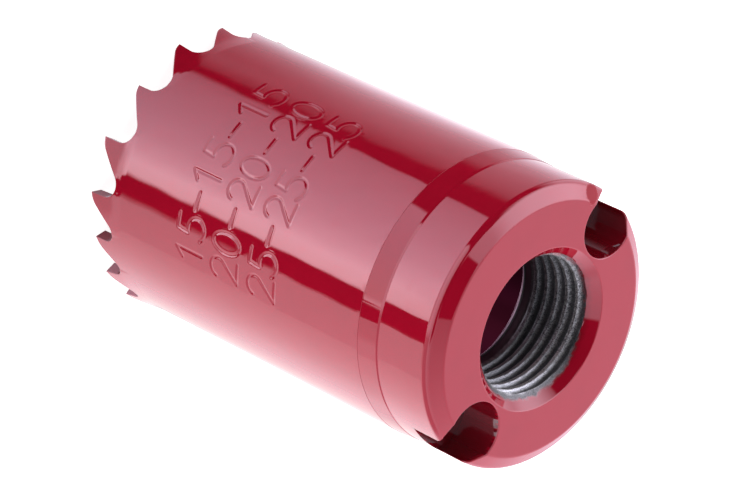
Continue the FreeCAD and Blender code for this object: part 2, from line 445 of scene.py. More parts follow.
def rounded_section(corners, steps=5, hold=0.00002):
    """A half section with parabolic rounds, each at its corner's own distance from it on both sides.

    A point just outside each end of a round keeps the flats flat.
    """
    corners = np.asarray(corners, float)
    t = np.linspace(0, 1, steps + 1)[:, None]
    parts = [corners[:1, :2]]
    for before, at, after in zip(corners[:-2], corners[1:-1], corners[2:]):
        reach = at[2]
        back = (before[:2] - at[:2]) / np.linalg.norm(before[:2] - at[:2])
        on = (after[:2] - at[:2]) / np.linalg.norm(after[:2] - at[:2])
        start, end = at[:2] + back * reach, at[:2] + on * reach
        curve = (1 - t) ** 2 * start + 2 * t * (1 - t) * at[:2] + t**2 * end
        parts += [start[None] + back * hold, curve, end[None] + on * hold]
    parts.append(corners[-1:, :2])
    return np.concatenate(parts)


def hole_half_angle(radius, hole_radius, centre):
    """Half the angle that a pin hole takes out of a circle about the axis, by the law of cosines."""
    cosine = (radius**2 + centre**2 - hole_radius**2) / (2 * radius * centre)
    return np.arccos(np.clip(cosine, -1.0, 1.0))


# Depth of the thread, half the flat of its crest and the width of its flank, as shares of the pitch
THREAD_DEPTH_SHARE, FLAT_SHARE, FLANK_SHARE = 0.5413, 0.125, 0.3125
RUN_OUT = (CAP_FOOT + 0.0019, CAP_FOOT + 0.0031)

# A low collar at the bore's inner edge: its height, its spread, and its place above the chamfer
COLLAR_HEIGHT, COLLAR_WIDTH, COLLAR_RISE = 0.00013, 0.00013, 0.0001


def thread_radius(angle, height, sizes):
    """Radius of the bore's wall: a right-hand 60 degree thread with crests flat over a quarter of the pitch.

    It runs out towards the inner end, and is never inside the countersink's or the foot chamfer's cone. The
    collar is the bell curve exp(-t^2).
    """
    pitch = sizes.thread_pitch
    phase = (height / pitch - angle / TWO_PI) % 1.0
    from_crest = np.abs(phase - 0.5) * pitch
    flank = np.clip((from_crest - FLAT_SHARE * pitch) / (FLANK_SHARE * pitch), 0.0, 1.0)
    flank = flank * flank * (3 - 2 * flank) * 0.5 + flank * 0.5
    radius = sizes.thread_minor + THREAD_DEPTH_SHARE * pitch * flank * smooth_step(*RUN_OUT, height)
    cone = sizes.countersink - (LENGTH - height)
    foot = sizes.thread_minor + sizes.foot_chamfer - (height - CAP_FOOT)
    above_edge = height - CAP_FOOT - sizes.foot_chamfer - COLLAR_RISE
    collar = COLLAR_HEIGHT * np.exp(-((above_edge / COLLAR_WIDTH) ** 2))
    return np.maximum(radius, np.maximum(cone, foot)) - collar


NARROW_SHARE = 0.0015


def half_angles(bound, count):
    """Angles of one half of the cap between its two pin holes, with a narrow column beside each hole."""
    even = np.linspace(NARROW_SHARE, 1 - NARROW_SHARE, count)
    share = np.concatenate([[0.0], even, [1.0]])
    return bound[:, None] + share[None, :] * (math.pi - 2 * bound[:, None])


# Step up the thread, rows over the bore's foot chamfer and its countersink, steps of the face's rows round a
# hole, rows down the rim above and below the holes' floor, and columns of half a turn and over a hole
THREAD_STEP, CHAMFER_ROWS, CONE_ROWS, FACE_STEPS = 0.00005, 8, 24, 60
UPPER_ROWS, LOWER_ROWS, HALF_COLUMNS, HOLE_COLUMNS = 9, 6, 118, 13

# Rows of the bore that carry the painted highlight on its foot edge, and the mark that they get
FOOT_HIGHLIGHT_ROWS, FOOT_HIGHLIGHT_MARK = [0, 1, 7, 8, 9, 10], 2.0

# Reach of the rounds at the cap's corners, and the room that rows keep beside its edges
FACE_LIP, CHAMFER_TOP_ROUND, RIDGE_ROUND, FOOT_ROUND = 0.00012, 0.00016, 0.00006, 0.00002
CLEAR_OF_LIP, CLEAR_OF_CHAMFER, CLEAR_OF_RIM, CLEAR_OF_FLOOR = 0.00005, 0.00025, 0.0006, 0.0003


def cap_mesh(sizes):
    """End cap as grids that share their edges.

    The main grid of each half runs up the threaded bore, over the countersink, the face, the chamfer and the
    rim down to the holes' floor, and its columns start and end on the pin holes' edge. The foot grid goes
    full circle down the rest of the rim, the ridge, the neck and the spigot, and in under the cap.
    """
    rim = sizes.tube_radius - sizes.rim_setback
    centre, hole = sizes.pin_centre, sizes.pin_radius
    wide = hole + sizes.lip_round
    floor = LENGTH - sizes.pin_depth
    chamfer_top = rim - sizes.chamfer_radial
    chamfer_foot = LENGTH - sizes.chamfer_axial
    chamfer_end = CAP_FOOT + sizes.foot_chamfer
    bore_foot = np.linspace(CAP_FOOT, chamfer_end, CHAMFER_ROWS)
    bore_top = LENGTH - (sizes.countersink - sizes.thread_minor)
    thread = np.arange(chamfer_end + THREAD_STEP, bore_top, THREAD_STEP)
    cone = np.linspace(bore_top, LENGTH - FACE_LIP, CONE_ROWS)
    bore = np.concatenate([bore_foot, thread, cone])
    sections = rounded_section([
        (sizes.countersink - FACE_LIP, LENGTH - FACE_LIP, 0.0),
        (sizes.countersink, LENGTH, 0.75 * FACE_LIP),
        (chamfer_top, LENGTH, CHAMFER_TOP_ROUND),
        (rim, chamfer_foot, sizes.rim_round),
        (rim, floor, 0.0),
    ], steps=6)[1:]
    swing = np.linspace(0, math.pi, FACE_STEPS)
    face_radii = np.sqrt(centre**2 + wide**2 - 2 * centre * wide * np.cos(swing))
    on_face = (face_radii > sections[8, 0] + CLEAR_OF_LIP) & (face_radii < chamfer_top - CLEAR_OF_CHAMFER)
    face = np.stack([face_radii[on_face], np.full(on_face.sum(), LENGTH)], axis=-1)
    before = sections[sections[:, 0] < centre - wide + TINY]
    after = sections[len(before):]
    first_after = after[:np.argmax(after[:, 0] > chamfer_top - CLEAR_OF_CHAMFER)]
    after = after[len(first_after):]
    upper_rim = np.linspace(chamfer_foot - CLEAR_OF_RIM, floor + CLEAR_OF_FLOOR, UPPER_ROWS)
    upper_rim = np.stack([np.full(len(upper_rim), rim), upper_rim], axis=-1)
    rows = np.concatenate([before, first_after, face, after[:-1], upper_rim, after[-1:]])
    bound = hole_half_angle(rows[:, 0], wide, centre)
    all_bound = np.concatenate([np.zeros(len(bore)), bound])
    angle = half_angles(all_bound, HALF_COLUMNS)
    bore_radius = thread_radius(angle[: len(bore)], bore[:, None], sizes)
    other_bore = thread_radius(angle[: len(bore)] + math.pi, bore[:, None], sizes)
    height = np.concatenate([bore, rows[:, 1]])[:, None]
    calm = smooth_step(floor, floor + CALM_REACH, rows[:, 1:2])
    calm = smooth_step(rim - CLEAR_OF_RIM, rim, rows[:, 0:1]) * calm
    patches, attributes, inside = [], [], []
    for turn, threaded in ((0.0, bore_radius), (math.pi, other_bore)):
        wave = paint_wave(angle[len(bore):] + turn, rows[:, 1:2], sizes.paint_wave)
        radius = np.concatenate([threaded, rows[:, 0:1] + wave * calm])
        points = cylinder_points(radius, angle + turn, height)
        patches.append((points, grid_quads(*points.shape[:2])))
        # Marks for the painted highlight on the bore's foot edge
        foot_highlights = np.zeros(points.shape[:2])
        foot_highlights[FOOT_HIGHLIGHT_ROWS] = FOOT_HIGHLIGHT_MARK
        attributes.append(foot_highlights)
    rim_bound = bound[-1]
    inner = sizes.tube_radius - sizes.tube_wall
    lower = rounded_section([
        (rim, floor, 0.0),
        (rim, sizes.rim_foot, RIDGE_ROUND),
        (rim + sizes.ridge_bead, sizes.rim_foot - 0.6 * sizes.ridge_bevel, RIDGE_ROUND),
        (sizes.tube_radius - sizes.shoulder_round, TUBE_END, FOOT_ROUND),
        (inner, TUBE_END, FOOT_ROUND),
        (inner, CAP_FOOT, FOOT_ROUND),
        (sizes.thread_minor + sizes.foot_chamfer, CAP_FOOT, 0.0),
    ])
    extra = np.linspace(floor - 0.0004, sizes.rim_foot + CLEAR_OF_FLOOR, LOWER_ROWS)
    extra = np.stack([np.full(LOWER_ROWS, rim), extra], axis=-1)
    lower = np.concatenate([lower[:1], extra, lower[1:]])
    narrowing = np.ones(len(lower))
    narrowing[-1] = 0.0
    half = half_angles(rim_bound * narrowing, HALF_COLUMNS)
    across = np.linspace(-1, 1, HOLE_COLUMNS)[None, 1:-1] * rim_bound * narrowing[:, None]
    around = np.concatenate([half, across + math.pi, half + math.pi, across + TWO_PI], axis=1)
    wave = paint_wave(around, lower[:, 1:2], sizes.paint_wave)
    calm = smooth_step(floor, floor - CALM_REACH, lower[:, 1:2]) * (lower[:, 0:1] > rim - 0.00001)
    points = cylinder_points(lower[:, 0:1] + wave * calm, around, lower[:, 1:2])
    patches.append((points, grid_quads(*points.shape[:2], False, True)))
    attributes.append(np.zeros(points.shape[:2]))
    for turn in (0.0, math.pi):
        for points, quads, wear_and_highlight in hole_patches(rows, bound, sizes, rim, floor, turn):
            patches.append((points, quads))
            attributes.append(np.broadcast_to(wear_and_highlight, points.shape[:2]))
            inside.append(len(attributes) - 1)
    wear_and_highlight = np.concatenate([a.ravel() for a in attributes])
    # Painted shade mark: 1 on the pin holes' walls, floors and lip ends
    darkened = np.concatenate([
        np.full(a.size, float(i in inside and not a.any())) for i, a in enumerate(attributes)
    ])
    return patches, wear_and_highlight, darkened


def turned_about_axis(points, turn):
    """Points turned about the axis: x' = x cos t - y sin t, y' = x sin t + y cos t."""
    c, s = math.cos(turn), math.sin(turn)
    x, y = points[..., 0], points[..., 1]
    return np.stack([c * x - s * y, s * x + c * y, points[..., 2]], axis=-1)


# Points across a pin hole's lip, and the mirror that gives the hole's other side
LIP_POINTS = 6
MIRROR = np.array([1.0, -1.0, 1.0])


def hole_patches(rows, bound, sizes, rim, floor, turn):
    """Lip, wall and floor of one pin hole.

    The lip is a parabolic round from the hole's edge on the cap to the hole's wall. The wall goes straight
    down from the lip, and the floor is ruled between its two sides and out to the rim.
    """
    centre, hole, lip = sizes.pin_centre, sizes.pin_radius, sizes.lip_round
    chamfer_foot = LENGTH - sizes.chamfer_axial
    used = rows[:, 0] >= centre - hole - lip - TINY
    r, z, half = rows[used, 0], rows[used, 1], bound[used]
    edge_x, edge_y = r * np.cos(half), r * np.sin(half)
    out_x, out_y = (edge_x - centre) / (hole + lip), edge_y / (hole + lip)
    on_rim = (r > rim - 1e-7) & (z < chamfer_foot - sizes.rim_round + 0.00001)
    drop = np.where(on_rim, 0.0, lip)
    wall_z = np.minimum(z - drop, np.where(on_rim, chamfer_foot - sizes.rim_round - lip, 1.0))
    wall_x, wall_y = centre + hole * out_x, hole * out_y
    rim_half = hole_half_angle(np.array([rim]), hole, centre)[0]
    corner_x = np.where(on_rim, rim * math.cos(rim_half), wall_x)
    corner_y = np.where(on_rim, rim * math.sin(rim_half), wall_y)
    edge, wall = np.stack([edge_x, edge_y, z], -1), np.stack([wall_x, wall_y, wall_z], -1)
    corner = np.stack([corner_x, corner_y, z], -1)
    t = np.linspace(0, 1, LIP_POINTS)[None, :, None]
    lips = (1 - t) ** 2 * edge[:, None] + 2 * t * (1 - t) * corner[:, None] + t**2 * wall[:, None]
    top = np.argmax(on_rim)
    levels = wall_z[top:]
    share = (levels - floor) / (wall_z[top] - floor)
    down = floor + share[None, :] * (wall_z[: top + 1, None] - floor)
    sides_x, sides_y = wall_x[: top + 1, None], wall_y[: top + 1, None]
    walls = np.stack([sides_x + 0 * down, sides_y + 0 * down, down], -1)
    across = np.linspace(1, -1, HOLE_COLUMNS)[None, :]
    base = np.stack([sides_x + 0 * across, sides_y * across, np.full((top + 1, HOLE_COLUMNS), floor)], -1)
    rim_arc = cylinder_points(rim, half[-1] * across, floor)
    base = np.concatenate([base, rim_arc])
    # The lip's mark peaks at the middle of its round: a painted highlight along the hole's edge
    wear_and_highlight = 1 - np.abs(2 * np.linspace(0, 1, LIP_POINTS) - 1)
    made = []
    for side in (np.ones(3), MIRROR):
        made.append((lips * side, grid_quads(*lips.shape[:2]), wear_and_highlight[None, :]))
        made.append((walls * side, grid_quads(*walls.shape[:2]), 0.0))
        made.append((lips[-1:] * side, np.arange(LIP_POINTS)[None, :], 0.0))
    made.append((base, grid_quads(*base.shape[:2]), 0.0))
    return [(turned_about_axis(points, turn), quads, wear_and_light_marks) for points, quads, wear_and_light_marks in made]


class NodeMaker:
    """Short words for the nodes of one tree."""

    def __init__(self, tree):
        self.tree = tree

    def add(self, kind, **settings):
        """A new node with its settings."""
        node = self.tree.nodes.new(kind)
        for key, value in settings.items():
            setattr(node, key, value)
        return node

    def put(self, socket, value):
        """A socket gets a link from another socket, or a constant."""
        if isinstance(value, bpy.types.NodeSocket):
            self.tree.links.new(value, socket)
        else:
            socket.default_value = value

    def fill(self, sockets, values):
        """Sockets, by name or place, get links or constants."""
        for key, value in values.items():
            self.put(sockets[key], value)

    def math(self, operation, *values):
        """The result of a Math node."""
        node = self.add("ShaderNodeMath", operation=operation)
        for socket, value in zip(node.inputs, values):
            self.put(socket, value)
        return node.outputs[0]

    def vector_math(self, operation, first, second):
        """The value of a Vector Math node."""
        node = self.add("ShaderNodeVectorMath", operation=operation)
        self.fill(node.inputs, {0: first, 1: second})
        return node.outputs["Value"]

    def chain(self, operation, values):
        """Math nodes that take in one value after the other."""
        result = values[0]
        for value in values[1:]:
            result = self.math(operation, result, value)
        return result

    def times(self, *values):
        """The product of the values."""
        return self.chain("MULTIPLY", values)

    def plus(self, *values):
        """The sum of the values."""
        return self.chain("ADD", values)

    def minus(self, first, second):
        """The first value less the second."""
        return self.math("SUBTRACT", first, second)

    def most(self, *values):
        """The largest of the values."""
        return self.chain("MAXIMUM", values)

    def ramp(self, value, low, high, start=0.0, end=1.0):
        """A smooth rise from start to end while value goes from low to high."""
        node = self.add("ShaderNodeMapRange", interpolation_type="SMOOTHSTEP")
        for socket, given in zip(node.inputs, (value, low, high, start, end)):
            self.put(socket, given)
        return node.outputs[0]

    def mix(self, factor, first, second, kind="FLOAT", place=2, result=0):
        """A mix of two numbers."""
        node = self.add("ShaderNodeMix", data_type=kind)
        self.fill(node.inputs, {0: factor, place: first, place + 1: second})
        return node.outputs[result]

    def mix_colour(self, factor, first, second):
        """A mix of two colours."""
        return self.mix(factor, first, second, "RGBA", 6, 2)

    def noise(self, vector, scale, detail=2.0, roughness=0.5):
        """The value of a noise texture."""
        node = self.add("ShaderNodeTexNoise")
        self.fill(node.inputs, {"Vector": vector, "Scale": scale, "Detail": detail, "Roughness": roughness})
        return node.outputs["Fac"]

    def split(self, vector):
        """The three parts of a vector."""
        node = self.add("ShaderNodeSeparateXYZ")
        self.put(node.inputs[0], vector)
        return node.outputs

    def attribute(self, name):
        """A number kept on the mesh's points."""
        return self.add("ShaderNodeAttribute", attribute_name=name).outputs["Fac"]

    def bump(self, height, strength, distance):
        """A normal that leans with a height."""
        node = self.add("ShaderNodeBump")
        self.fill(node.inputs, {"Height": height, "Strength": strength, "Distance": distance})
        return node.outputs[0]


def rgba(colour):
    """A linear colour with full alpha."""
    return (*colour, 1.0)


LACQUER = "Sprayed lacquer"
LACQUER_SOCKETS = (
    ("Paint", "INPUT", "Color"), ("Deepened", "INPUT", "Color"), ("Edge colour", "INPUT", "Color"),
    ("Darkening mask", "INPUT", "Float"), ("Edge mask", "INPUT", "Float"),
    ("Colour", "OUTPUT", "Color"), ("Roughness", "OUTPUT", "Float"), ("Height", "OUTPUT", "Float"),
)

# Scales of its noises: slow clouds, fine mist, flakes on a worn edge, and patches of gloss
CLOUD_SCALE, MIST_SCALE, FLAKE_SCALE, PATCH_SCALE = 260.0, 3200.0, 900.0, 700.0
LACQUER_ROUGHNESS, EDGE_ROUGHNESS, MIST_SHARE = (0.02, 0.04), 0.22, 0.35


def lacquer_group():
    """Sprayed lacquer: colour with soft clouding and a darkening mask that on the cap carries painted shade,
    its roughness, and the height of its fine texture.
    """
    group = bpy.data.node_groups.new(LACQUER, "ShaderNodeTree")
    for name, way, kind in LACQUER_SOCKETS:
        group.interface.new_socket(name, in_out=way, socket_type="NodeSocket" + kind)
    make = NodeMaker(group)
    given, result = make.add("NodeGroupInput").outputs, make.add("NodeGroupOutput").inputs
    where = make.add("ShaderNodeTexCoord").outputs["Object"]
    cloud = make.noise(where, CLOUD_SCALE, 3.0)
    # The darkening mask adds to the clouding; on the cap it carries painted shade
    depth = make.plus(make.times(make.minus(cloud, 0.5), 0.5), given["Darkening mask"])
    colour = make.mix_colour(make.most(depth, 0.0), given["Paint"], given["Deepened"])
    flakes = make.ramp(make.noise(where, FLAKE_SCALE, 3.0), 0.3, 0.6, 0.45, 1.0)
    ragged = make.times(given["Edge mask"], flakes)
    rough = make.ramp(make.noise(where, PATCH_SCALE), 0.3, 0.7, *LACQUER_ROUGHNESS)
    make.put(result["Colour"], make.mix_colour(ragged, colour, given["Edge colour"]))
    make.put(result["Roughness"], make.plus(rough, make.times(ragged, EDGE_ROUGHNESS)))
    make.put(result["Height"], make.plus(make.times(make.noise(where, MIST_SCALE), MIST_SHARE), cloud))
    return group


def lacquer_nodes(make, colours, darkening_mask, edge_mask):
    """The outputs of the lacquer group, which is made once, with this saw's colours."""
    group = bpy.data.node_groups.get(LACQUER) or lacquer_group()
    node = make.add("ShaderNodeGroup", node_tree=group)
    given = (rgba(colours.paint), rgba(colours.paint_deep), rgba(colours.edge), darkening_mask, edge_mask)
    for socket, value in zip(node.inputs, given):
        make.put(socket, value)
    return node.outputs


PAINT_IOR = 2.0
PAINT_METALLIC = 0.1

# Strength and distance of the fine texture's lean
PAINT_BUMP = (0.12, 0.00001)
CAP_BUMP = (0.7, 0.00005)


def new_material(name):
    """A material with an empty node tree, its Principled shader and its maker."""
    material = bpy.data.materials.new(name)
    material.use_nodes = True
    tree = material.node_tree
    tree.nodes.clear()
    make = NodeMaker(tree)
    shader = make.add("ShaderNodeBsdfPrincipled")
    output = make.add("ShaderNodeOutputMaterial")
    tree.links.new(shader.outputs[0], output.inputs["Surface"])
    return material, make, shader.inputs


def place_on_saw(make):
    """A surface point's place on the saw, that place's x, y and z, and its distance from the axis."""
    where = make.add("ShaderNodeTexCoord").outputs["Object"]
    x, y, z = make.split(where)
    return where, x, y, z, make.math("SQRT", make.plus(make.times(x, x), make.times(y, y)))


# The tube's inner wall, which gets painted shade, has a radius below the first of these, and lies above the
# second
INSIDE_RADIUS, INSIDE_HEIGHT = 0.01415, 0.005


def painted_material(name, colours):
    """Glossy crimson lacquer over steel, with thin paint and a painted highlight on the cut edges, and
    painted shade inside the tube: a dark colour and full metallic on its inner wall.
    """
    material, make, shader = new_material(name)
    # The edge mask gives thin paint and a painted highlight on the teeth's cut faces
    lacquer = lacquer_nodes(make, colours, 0.0, make.attribute("edge_wear_and_highlight"))
    z, radius = place_on_saw(make)[-2:]
    # Painted shade on the tube's inner wall
    inside = make.math("GREATER_THAN", z, INSIDE_HEIGHT)
    inside = make.times(make.math("LESS_THAN", radius, INSIDE_RADIUS), inside)
    make.fill(shader, {
        "Base Color": make.mix_colour(inside, lacquer["Colour"], rgba(colours.inside)),
        "Metallic": make.mix(inside, PAINT_METALLIC, 1.0),
        "Roughness": lacquer["Roughness"],
        "Normal": make.bump(lacquer["Height"], *PAINT_BUMP),
        "IOR": PAINT_IOR,
    })
    return material


# The overspray's ragged edge, and the side of the bore on which it is thin
RAGGED_SCALE, RAGGED_REACH = 1300.0, 0.0007
THIN_SIDE = math.radians(40.0)
THIN_SHIFT = (0.0002, 0.0009)

# Heights in the bore, each from and to: where the steel comes bare and where it is covered again, the painted
# shade at the foot, the painted shade just inside the countersink, the light that fades down the bore, the
# foot of the cone, and the last turn's end
STEEL_FOOT = (CAP_FOOT + 0.0019, CAP_FOOT + 0.0027)
STEEL_TOP = (LENGTH - 0.0016, LENGTH - 0.002)
FOOT_SHADE_HEIGHTS = (CAP_FOOT + 0.0036, CAP_FOOT + 0.0022)
MOUTH_SHADE_HEIGHTS = (LENGTH - 0.0006, LENGTH - 0.0011)
LIT_FROM, LIT_TO = CAP_FOOT + 0.0035, LENGTH - 0.002
CONE_FOOT = (LENGTH - 0.0015, LENGTH - 0.0012)
LAST_TURN = LENGTH - 0.0014

# A run of paint on the chamfer beside one pin hole
DRIP_ANGLE = math.radians(198.0)
DRIP_PLACE = (0.0142 * math.cos(DRIP_ANGLE), 0.0142 * math.sin(DRIP_ANGLE), 0.0495)
DRIP_EDGE = (0.0012, 0.0009)

# Painted shade in the thread's grooves: how far outside the crests it begins and is full, and how dark
GROOVE_DEPTHS = (0.00016, 0.00052)
GROOVE_SHADE = 0.85
STEEL_METALLIC = 0.6
GRAIN_SCALE, COARSE_SCALE = 9000.0, 2600.0


def steel_sparkle(make, where, height, radius, thin, sizes):
    """How bright the grains of the bare steel are: two noises, with a painted highlight on the thin side, and
    painted shade that dims them on the cone and in the grooves.
    """
    grain = make.noise(where, GRAIN_SCALE, 2.0, 0.7)
    coarse = make.noise(where, COARSE_SCALE, 3.0, 0.6)
    # Painted highlight: the grains are brighter on the thin side
    more = make.ramp(thin, 0.3, 0.95, 0.0, 0.1)
    grains = make.plus(make.times(grain, 0.7), make.times(coarse, 0.3), more)
    # Painted shade on the countersink's cone, least on the thin side
    cone = make.mix(make.ramp(height, *CONE_FOOT), 1.0, make.ramp(thin, 0.35, 1.0, 0.0, 0.3))
    low, high = (sizes.thread_minor + depth for depth in GROOVE_DEPTHS)
    in_thread = make.math("LESS_THAN", height, LAST_TURN)
    groove_shade = make.times(make.ramp(radius, low, high, 0.0, GROOVE_SHADE), in_thread)
    return make.times(make.ramp(grains, 0.38, 0.70), cone, make.minus(1.0, groove_shade)), grain


def cap_material(name, colours, sizes):
    """Lacquer on the outside, bare dark steel on the thread, with a ragged edge of overspray between them.
    Painted shade darkens the bore's foot, the top of the bore just inside the countersink and the pin holes,
    and a painted highlight brightens the edge at the bore's inner end.

    The bare part is read from the distance to the axis and the height, bounded by noise. It reaches further
    up on the thin side: the cosine of the angle from that side sets how far.
    """
    material, make, shader = new_material(name)
    where, x, y, z, radius = place_on_saw(make)
    in_bore = make.math("LESS_THAN", radius, sizes.countersink)
    ragged = make.times(make.minus(make.noise(where, RAGGED_SCALE, 3.0, 0.6), 0.5), RAGGED_REACH)
    height = make.plus(z, ragged)
    thin = make.plus(make.times(x, math.cos(THIN_SIDE)), make.times(y, math.sin(THIN_SIDE)))
    thin = make.math("DIVIDE", thin, radius)
    lowered = make.minus(height, make.ramp(thin, -0.2, 0.9, *THIN_SHIFT))
    bare = make.times(make.ramp(lowered, *STEEL_TOP), make.ramp(height, *STEEL_FOOT), in_bore)
    # Painted shade at the bore's foot: a near-black colour, the deeper lacquer and a matt finish
    foot_shade = make.times(make.ramp(height, *FOOT_SHADE_HEIGHTS), in_bore)
    # Painted shade just inside the countersink, at seven tenths strength
    mouth_shade = make.times(make.ramp(height, *MOUTH_SHADE_HEIGHTS), in_bore, 0.7)
    # Painted shade in the pin holes: a dark colour, the deeper lacquer, a matt finish and no metallic
    hole_shade, wear_and_highlight = make.attribute("darkened"), make.attribute("edge_wear_and_highlight")
    # Painted highlight on the bore's foot edge: a bright colour, mostly metallic
    foot_highlight = make.math("GREATER_THAN", wear_and_highlight, 1.5)
    drip_distance = make.vector_math("DISTANCE", where, DRIP_PLACE)
    drip = make.ramp(make.plus(drip_distance, make.times(ragged, 1.3)), *DRIP_EDGE)
    # On the cap the darkening mask carries painted shade at the bore's foot, just inside the countersink and
    # in the pin holes, and the edge mask carries thin paint and a painted highlight on the hole lips
    lacquer = lacquer_nodes(make, colours, make.most(foot_shade, mouth_shade, hole_shade), make.times(wear_and_highlight, 0.4))
    paint = lacquer["Colour"]
    for mask, share, tone in (
        (hole_shade, 0.8, colours.hole),
        (drip, 0.3, colours.drip),
        (foot_shade, 0.95, colours.bore_foot),
        (foot_highlight, 1.0, colours.foot_highlight),
    ):
        paint = make.mix_colour(make.times(mask, share), paint, rgba(tone))
    matt = make.most(make.times(hole_shade, 0.04), make.times(drip, 0.8), make.times(foot_shade, 0.3))
    metallic = make.mix(foot_highlight, make.mix(hole_shade, PAINT_METALLIC, 0.0), 0.8)
    sparkle, grain = steel_sparkle(make, where, height, radius, thin, sizes)
    dark = rgba(colours.steel_dark)
    steel = make.mix_colour(sparkle, dark, rgba(colours.steel))
    steel = make.mix_colour(make.ramp(z, LIT_FROM, LIT_TO, 0.4, 1.0), dark, steel)
    rough = make.mix(bare, make.plus(lacquer["Roughness"], matt), make.mix(sparkle, 0.5, 0.26))
    tall = make.mix(bare, make.times(lacquer["Height"], 0.02), grain)
    make.fill(shader, {
        "Base Color": make.mix_colour(bare, paint, steel),
        "Metallic": make.mix(bare, metallic, STEEL_METALLIC),
        "Roughness": rough,
        "Normal": make.bump(tall, *CAP_BUMP),
        "IOR": PAINT_IOR,
    })
    return material


# Edges that turn by more than this many degrees stay sharp
SHARP, SHELL_SHARP = 35, 55


class HOLESAW_OT_shell(bpy.types.Operator):
    """Builds the rolled tube with its stamped depth figures"""

    bl_idname = "hole_saw.shell"
    bl_label = "Shell"

    def execute(self, context):
        sizes, colours = context.scene.hole_saw_sizes, context.scene.hole_saw_colours
        material = painted_material("Crimson lacquer, tube", colours)
        build_piece("saw_shell", [shell_mesh(sizes)], SHELL_SHARP, material, "shell")
        return {"FINISHED"}


class HOLESAW_OT_teeth(bpy.types.Operator):
    """Builds the ring of hooked, set teeth"""

    bl_idname = "hole_saw.teeth"
    bl_label = "Teeth"

    def execute(self, context):
        sizes, colours = context.scene.hole_saw_sizes, context.scene.hole_saw_colours
        material = painted_material("Crimson lacquer, teeth", colours)
        points, quads, wear_and_highlight = tooth_mesh(sizes)
        wear_and_light_marks = {"edge_wear_and_highlight": wear_and_highlight}
        build_piece("saw_teeth", [(points, quads)], SHARP, material, "tooth_edge", wear_and_light_marks)
        return {"FINISHED"}


class HOLESAW_OT_cap(bpy.types.Operator):
    """Builds the end cap with its threaded bore and drive pin holes"""

    bl_idname = "hole_saw.cap"
    bl_label = "End cap"

    def execute(self, context):
        sizes, colours = context.scene.hole_saw_sizes, context.scene.hole_saw_colours
        material = cap_material("Crimson lacquer and bare thread", colours, sizes)
        patches, wear_and_highlight, darkened = cap_mesh(sizes)
        wear_and_light_marks = {"edge_wear_and_highlight": wear_and_highlight, "darkened": darkened}
        build_piece("saw_end_cap", patches, SHARP, material, "end_cap", wear_and_light_marks)
        return {"FINISHED"}


def outward_direction(azimuth, elevation):
    """Unit vector from an azimuth and an elevation: (cos a cos e, sin a cos e, sin e)."""
    level = math.cos(elevation)
    return Vector((math.cos(azimuth) * level, math.sin(azimuth) * level, math.sin(elevation)))


def facing(outwards):
    """Turn of a thing that stands in a direction and looks back along it, as a matrix."""
    return outwards.to_track_quat("Z", "Y").to_matrix()


def stage_camera(studio):
    """Camera on a sphere round its aim point on the axis, turned about its own line of sight by the roll."""
    outwards = outward_direction(studio.camera_azimuth, studio.camera_elevation)
    camera = link("Camera", bpy.data.cameras.new("Camera"))
    camera.data.lens = studio.camera_lens
    camera.data.sensor_width = 36.0
    camera.data.clip_start, camera.data.clip_end = 0.01, 10.0
    place = Vector((0, 0, studio.camera_aim)) + outwards * studio.camera_distance
    turn = facing(outwards) @ Matrix.Rotation(-studio.camera_roll, 3, "Z")
    camera.matrix_world = Matrix.Translation(place) @ turn.to_4x4()
    bpy.context.scene.camera = camera


# What a glossy surface mirrors: all azimuths and elevations in this part are in degrees. First the brightness
# of the lit sweep and its blue share, each at an azimuth
SWEEP_LEVELS = (
    (0, 1.15), (20, 1.38), (42, 1.66), (60, 1.64), (74, 1.5), (88, 1.36), (108, 1.2), (124, 1.4), (136, 1.2),
    (151, 0.82), (168, 0.58), (184, 0.44), (193, 0.32), (202, 0.17), (208, 0.03), (213, 0.55), (225, 0.8),
    (241, 1.02), (258, 1.25), (276, 1.6), (290, 2.1), (300, 2.72), (310, 2.5), (322, 1.0), (340, 1.0),
)
SWEEP_TINTS = (
    (0, 1.08), (55, 1.08), (72, 1.02), (100, 1.02), (118, 1.07), (135, 1.15), (205, 1.15), (216, 1.22),
    (262, 1.22), (288, 1.17), (308, 1.1), (320, 1.1),
)
TALLEST_LEVEL, TALLEST_TINT = 3.0, 2.0

# Strips of the sweep that are brighter or darker from some way up: azimuths, softness, brightness
SWEEP_STRIPS = ((130.0, 166.0, 6.0, 1.3), (52.0, 110.0, 10.0, 0.8), (318.0, 346.0, 5.0, 0.74))
STRIP_RISE = (-38.5, -35.0)
TABLE_LEVEL = 1.03

# Panels overhead: azimuth, elevation, radius of the full part, radius of the soft edge, brightness
PANELS = ((160, 42, 10, 34, 1.5), (-155, 70, 3, 22, 0.5))
DARK_DISK = (-79, 73, 14.2, 15.4)
DARK_LEVEL = 0.015
HORIZON = (-28.0, -18.0)
FULL_TURN = 360.0
DEGREES_PER_RADIAN = 180 / math.pi


def ramp_over_azimuth(make, azimuth, stops, scale):
    """Values given at azimuths, joined by straight lines and divided by a scale that keeps them under 1."""
    node = make.add("ShaderNodeValToRGB")
    elements = node.color_ramp.elements
    while len(elements) < len(stops):
        elements.new(0.5)
    for element, (place, level) in zip(elements, stops):
        element.position = place / FULL_TURN
        element.color = (level / scale, level / scale, level / scale, 1.0)
    make.put(node.inputs[0], make.math("DIVIDE", azimuth, FULL_TURN))
    return make.times(node.outputs[0], scale)


def window(make, value, low, high, soft, high_soft=None):
    """A mask that is 1 between two edges, each softened over a width on both sides."""
    high_soft = soft if high_soft is None else high_soft
    rise = make.ramp(value, make.minus(low, soft), make.plus(low, soft))
    fall = make.ramp(value, make.plus(high, high_soft), make.minus(high, high_soft))
    return make.times(rise, fall)


